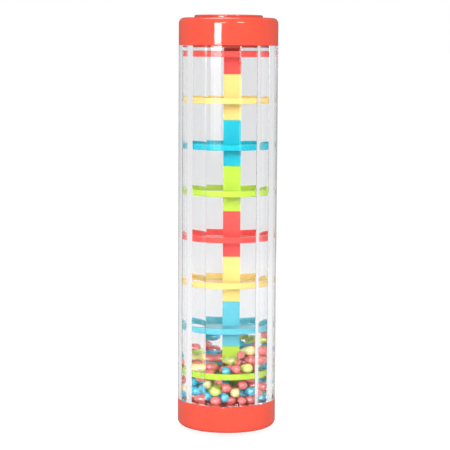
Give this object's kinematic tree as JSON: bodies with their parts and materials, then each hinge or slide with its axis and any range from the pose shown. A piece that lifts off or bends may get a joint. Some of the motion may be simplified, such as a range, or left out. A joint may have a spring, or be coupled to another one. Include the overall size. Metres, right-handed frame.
{
  "type": "rainstick",
  "caption": "Small clear tube rainstick with red end caps, stacked coloured slotted discs on a square post, and loose round beads that fall through them.",
  "frame": {"origin": "centre of the bottom cap's end face, on the tube's axis", "axes": "+Z along the tube towards the top cap; -Y is the front"},
  "size_m": [0.0484, 0.0484, 0.203],
  "materials": {
    "cap_red": "gloss",
    "clear": "clear moulded plastic",
    "level_red": "gloss",
    "level_yellow": "gloss",
    "level_blue": "gloss",
    "level_green": "gloss",
    "bead_red": "gloss",
    "bead_yellow": "gloss",
    "bead_blue": "gloss",
    "bead_green": "gloss"
  },
  "bodies": {
    "root": {"top_cap": "cap_red", "bottom_cap": "cap_red", "top_plug": "cap_red", "bottom_plug": "cap_red", "tube": "clear", "level_1": "level_red", "level_2": "level_yellow", "level_3": "level_blue", "level_4": "level_green", "level_5": "level_red", "level_6": "level_yellow", "level_7": "level_blue", "level_8": "level_green"},
    "lower_beads": {"lower_beads_red": "bead_red", "lower_beads_blue": "bead_blue", "lower_beads_green": "bead_green", "lower_beads_yellow": "bead_yellow"},
    "upper_beads": {"upper_beads_red": "bead_red", "upper_beads_blue": "bead_blue", "upper_beads_green": "bead_green", "upper_beads_yellow": "bead_yellow"},
    "rain_bead_01": {"rain_bead_01": "bead_yellow"},
    "rain_bead_02": {"rain_bead_02": "bead_green"},
    "rain_bead_03": {"rain_bead_03": "bead_red"},
    "rain_bead_04": {"rain_bead_04": "bead_blue"},
    "rain_bead_05": {"rain_bead_05": "bead_red"},
    "rain_bead_06": {"rain_bead_06": "bead_green"},
    "rain_bead_07": {"rain_bead_07": "bead_red"},
    "rain_bead_08": {"rain_bead_08": "bead_yellow"},
    "rain_bead_09": {"rain_bead_09": "bead_blue"},
    "rain_bead_10": {"rain_bead_10": "bead_red"},
    "rain_bead_11": {"rain_bead_11": "bead_green"},
    "rain_bead_12": {"rain_bead_12": "bead_red"}
  },
  "joints": [
    {"name": "lower_beads_lift", "type": "slide", "parent": "root", "child": "lower_beads", "axis": [0, 0, 1], "range_m": [0, 0.0004]},
    {"name": "upper_beads_lift", "type": "slide", "parent": "root", "child": "upper_beads", "axis": [0, 0, 1], "range_m": [0, 0.0015]},
    {"name": "rain_01_fall", "type": "slide", "parent": "upper_beads", "child": "rain_bead_01", "axis": [0, 0, 1], "range_m": [0, 0.1482]},
    {"name": "rain_02_fall", "type": "slide", "parent": "upper_beads", "child": "rain_bead_02", "axis": [0, 0, 1], "range_m": [0, 0.1471]},
    {"name": "rain_03_fall", "type": "slide", "parent": "upper_beads", "child": "rain_bead_03", "axis": [0, 0, 1], "range_m": [0, 0.1454]},
    {"name": "rain_04_fall", "type": "slide", "parent": "upper_beads", "child": "rain_bead_04", "axis": [0, 0, 1], "range_m": [0, 0.1405]},
    {"name": "rain_05_fall", "type": "slide", "parent": "upper_beads", "child": "rain_bead_05", "axis": [0, 0, 1], "range_m": [0, 0.1405]},
    {"name": "rain_06_fall", "type": "slide", "parent": "upper_beads", "child": "rain_bead_06", "axis": [0, 0, 1], "range_m": [0, 0.1371]},
    {"name": "rain_07_fall", "type": "slide", "parent": "upper_beads", "child": "rain_bead_07", "axis": [0, 0, 1], "range_m": [0, 0.1447]},
    {"name": "rain_08_fall", "type": "slide", "parent": "upper_beads", "child": "rain_bead_08", "axis": [0, 0, 1], "range_m": [0, 0.143]},
    {"name": "rain_09_fall", "type": "slide", "parent": "upper_beads", "child": "rain_bead_09", "axis": [0, 0, 1], "range_m": [0, 0.1353]},
    {"name": "rain_10_fall", "type": "slide", "parent": "upper_beads", "child": "rain_bead_10", "axis": [0, 0, 1], "range_m": [0, 0.1407]},
    {"name": "rain_11_fall", "type": "slide", "parent": "upper_beads", "child": "rain_bead_11", "axis": [0, 0, 1], "range_m": [0, 0.1372]},
    {"name": "rain_12_fall", "type": "slide", "parent": "upper_beads", "child": "rain_bead_12", "axis": [0, 0, 1], "range_m": [0, 0.1369]}
  ]
}
